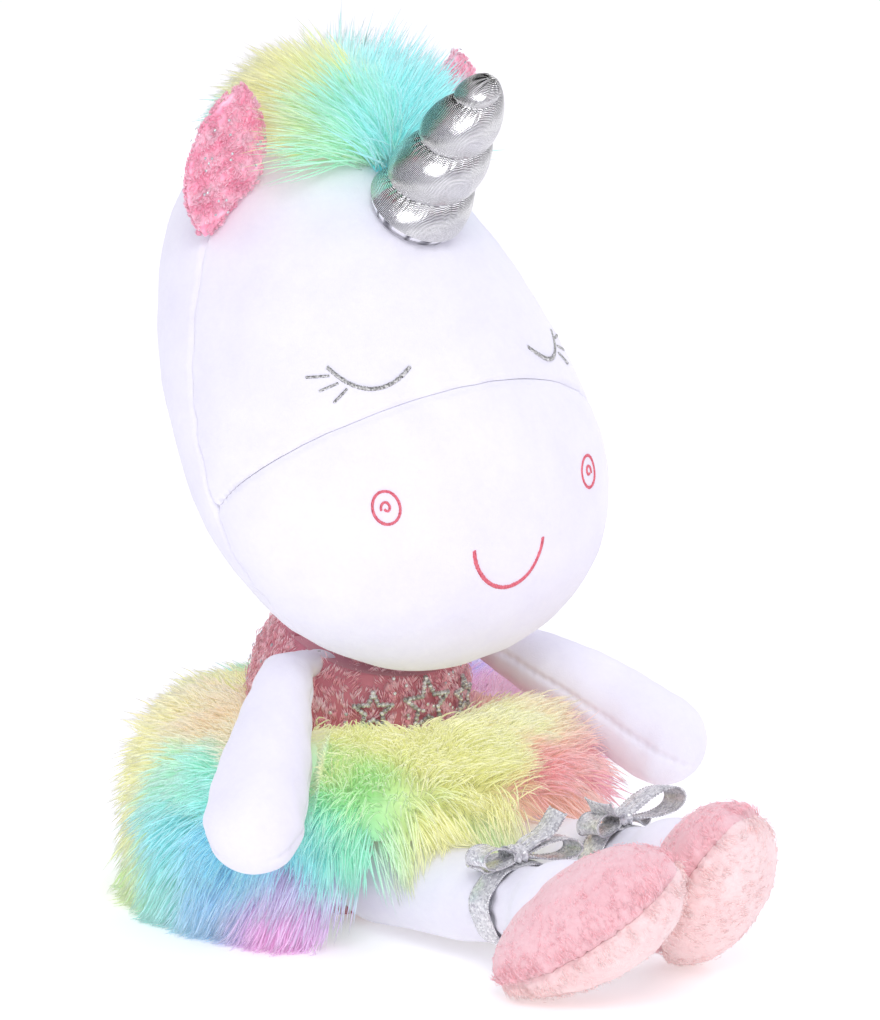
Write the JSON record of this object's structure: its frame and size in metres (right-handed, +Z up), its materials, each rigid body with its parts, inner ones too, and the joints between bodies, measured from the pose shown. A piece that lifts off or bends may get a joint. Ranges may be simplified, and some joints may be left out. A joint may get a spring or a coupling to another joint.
{
  "type": "soft toy unicorn",
  "caption": "Seated plush unicorn with a sewn head, spiral metallic horn, pastel fur mane and skirt, swinging limbs and ribbon bows at the ankles.",
  "frame": {"origin": "middle of the flat seat panel, on the surface the toy sits on", "axes": "+Z up, the toy faces -Y, +X is the toy's left side"},
  "size_m": [0.1865, 0.2522, 0.28],
  "materials": {
    "white_plush": "short velvety knitted plush",
    "rose_minky": "dimpled minky plush with a wormy pile",
    "pink_minky": "smooth minky plush",
    "rainbow_fur": "long pastel pile, dyed in bands",
    "silver_lame": "woven metallic lame, gathered",
    "silver_thread": "metallic embroidery thread",
    "coral_thread": "satin-stitched embroidery thread",
    "silver_ribbon": "woven glitter ribbon",
    "silver_bead": "metallised seed beads",
    "elastic": "covered elastic cord",
    "stuffing": "polyester fibre filling",
    "pellet_bag": "cotton bag of plastic pellets"
  },
  "bodies": {
    "torso": {"torso_front_cover": "rose_minky", "torso_back_cover": "rose_minky", "torso_stuffing": "stuffing", "seat_panel": "rose_minky", "pellet_bag": "pellet_bag", "waist_elastic": "elastic", "skirt_upper_ruffle": "rainbow_fur", "skirt_lower_ruffle": "rainbow_fur", "chest_beads": "silver_bead"},
    "neck": {"neck_cover": "white_plush", "neck_stuffing": "stuffing"},
    "head": {"forehead_cover": "white_plush", "muzzle_cover": "white_plush", "head_back_cover": "white_plush", "head_stuffing": "stuffing", "horn_cover": "silver_lame", "horn_stuffing": "stuffing", "mane": "rainbow_fur", "right_eye_stitches": "silver_thread", "left_eye_stitches": "silver_thread", "right_nostril_stitches": "coral_thread", "left_nostril_stitches": "coral_thread", "mouth_stitches": "coral_thread"},
    "right_ear": {"right_ear_front": "rose_minky", "right_ear_back": "rose_minky"},
    "left_ear": {"left_ear_front": "rose_minky", "left_ear_back": "rose_minky"},
    "right_arm": {"right_arm_cover": "white_plush", "right_arm_stuffing": "stuffing"},
    "left_arm": {"left_arm_cover": "white_plush", "left_arm_stuffing": "stuffing"},
    "right_leg": {"right_leg_cover": "white_plush", "right_leg_stuffing": "stuffing", "right_foot_upper": "pink_minky", "right_foot_sole": "pink_minky", "right_foot_stuffing": "stuffing", "right_ribbon_band": "silver_ribbon", "right_ribbon_bow": "silver_ribbon"},
    "left_leg": {"left_leg_cover": "white_plush", "left_leg_stuffing": "stuffing", "left_foot_upper": "pink_minky", "left_foot_sole": "pink_minky", "left_foot_stuffing": "stuffing", "left_ribbon_band": "silver_ribbon", "left_ribbon_bow": "silver_ribbon"}
  },
  "joints": [
    {"name": "neck_turn", "type": "hinge", "parent": "torso", "child": "neck", "pos_m": [0, -0.002, 0.078], "axis": [0, 0, 1], "range_deg": [-15, 15]},
    {"name": "head_nod", "type": "hinge", "parent": "neck", "child": "head", "pos_m": [0, -0.002, 0.078], "axis": [1, 0, 0], "range_deg": [-15, 3]},
    {"name": "right_ear_flex", "type": "hinge", "parent": "head", "child": "right_ear", "pos_m": [-0.0482, 0.0183, 0.2173], "axis": [0.5407, -0.3254, 0.7757], "range_deg": [-12, 12], "stiffness_Nm_per_rad": 0.01},
    {"name": "left_ear_flex", "type": "hinge", "parent": "head", "child": "left_ear", "pos_m": [0.0482, 0.0183, 0.2173], "axis": [-0.5407, -0.3254, 0.7757], "range_deg": [-12, 12], "stiffness_Nm_per_rad": 0.01},
    {"name": "right_shoulder_lift", "type": "hinge", "parent": "torso", "child": "right_arm", "pos_m": [-0.039, -0.014, 0.082], "axis": [-0.6402, 0.7682, 0], "range_deg": [0, 30]},
    {"name": "left_shoulder_lift", "type": "hinge", "parent": "torso", "child": "left_arm", "pos_m": [0.039, -0.014, 0.082], "axis": [-0.7581, -0.6521, 0], "range_deg": [-7, 6]},
    {"name": "right_hip_splay", "type": "hinge", "parent": "torso", "child": "right_leg", "pos_m": [-0.019, -0.038, 0.0162], "axis": [0, 0, -1], "range_deg": [0, 15]},
    {"name": "left_hip_splay", "type": "hinge", "parent": "torso", "child": "left_leg", "pos_m": [0.019, -0.038, 0.0162], "axis": [0, 0, 1], "range_deg": [0, 15]}
  ]
}
